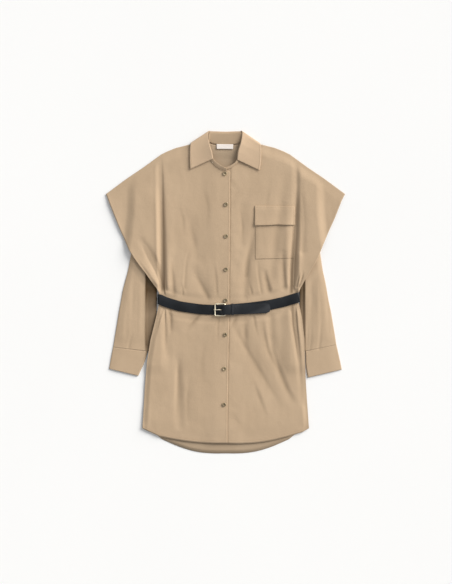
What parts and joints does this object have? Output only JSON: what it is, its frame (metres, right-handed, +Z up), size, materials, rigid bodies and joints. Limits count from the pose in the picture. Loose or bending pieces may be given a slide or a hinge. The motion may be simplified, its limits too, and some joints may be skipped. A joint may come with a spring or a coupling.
{
  "type": "shirt dress",
  "caption": "Short belted shirt dress in tan cotton, buttoned up and laid flat on its back, with a collar on a stand, long cuffed sleeves, a flapped patch pocket, a buckled leather belt and a shirt-tail hem.",
  "frame": {"origin": "on the surface that the dress lies on, under the middle of its overall width and length", "axes": "+X to the wearer's left, +Y towards the collar, +Z up out of the front of the dress"},
  "size_m": [0.6464, 0.8727, 0.0191],
  "materials": {
    "cotton": "matt woven cotton",
    "leather": "smooth satin",
    "gold": "polished pale gold",
    "horn": "mottled horn",
    "satin": "blank woven label"
  },
  "bodies": {
    "root": {"back": "cotton", "front_left": "cotton", "front_right": "cotton", "sleeve_right": "cotton", "sleeve_left": "cotton", "cuff_right": "cotton", "cuff_left": "cotton", "collar_stand": "cotton", "collar_leaf": "cotton", "pocket": "cotton", "pocket_flap": "cotton", "neck_label": "satin", "button_neck": "horn", "button_1": "horn", "button_2": "horn", "button_3": "horn", "button_4": "horn", "button_5": "horn", "button_6": "horn", "button_7": "horn", "belt_strap": "leather", "belt_keeper": "leather", "buckle_frame": "gold", "buckle_prong": "gold"}
  },
  "joints": []
}
